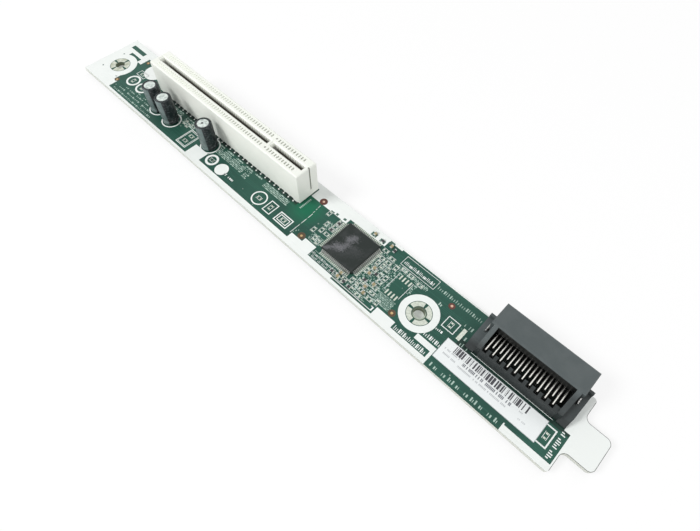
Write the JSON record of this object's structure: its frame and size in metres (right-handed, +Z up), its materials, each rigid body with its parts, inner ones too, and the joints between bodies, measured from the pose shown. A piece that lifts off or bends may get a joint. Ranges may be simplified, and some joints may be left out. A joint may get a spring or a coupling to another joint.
{
  "type": "pcie riser card",
  "caption": "Long green riser board with a keyed upright card slot, a bridge chip, standing capacitors, a right-angle card-edge connector, mounting holes and a rounded tab.",
  "frame": {"origin": "middle of the bounding box in plan, at the level of the solder tails' ends that the part rests on", "axes": "+X along the board from the plain end to the rounded tab, +Y from the near edge to the card-edge connector's mouth, +Z up out of the component face"},
  "size_m": [0.2412, 0.0286, 0.0172],
  "materials": {
    "laminate": "green solder mask over a laminate board, with white print",
    "slot_plastic": "ivory moulded thermoplastic",
    "contact_metal": "gold-flashed spring contacts",
    "terminal_metal": "pale plated terminals",
    "connector_plastic": "dark grey moulded thermoplastic",
    "lock_metal": "tinned sheet metal",
    "chip_plastic": "moulded package",
    "lead_metal": "tinned leads",
    "capacitor_sleeve": "dark shrink sleeve",
    "wire_metal": "tinned wire",
    "resistor_body": "glazed black body",
    "ceramic_body": "tan sintered body",
    "end_cap_metal": "tinned end caps",
    "label_paper": "white paper label"
  },
  "bodies": {
    "root": {"circuit_board": "laminate", "slot_housing": "slot_plastic", "slot_contacts_near": "contact_metal", "slot_contacts_far": "contact_metal", "connector_housing": "connector_plastic", "upper_long_terminals": "terminal_metal", "upper_short_terminals": "terminal_metal", "lower_long_terminals": "terminal_metal", "lower_short_terminals": "terminal_metal", "connector_board_locks": "lock_metal", "bridge_chip_body": "chip_plastic", "bridge_chip_leads": "lead_metal", "capacitor_can_1": "capacitor_sleeve", "capacitor_can_2": "capacitor_sleeve", "capacitor_can_3": "capacitor_sleeve", "capacitor_wires_1": "wire_metal", "capacitor_wires_2": "wire_metal", "capacitor_wires_3": "wire_metal", "resistor_bodies": "resistor_body", "resistor_end_caps": "end_cap_metal", "ceramic_bodies": "ceramic_body", "ceramic_end_caps": "end_cap_metal", "barcode_label": "label_paper"}
  },
  "joints": []
}
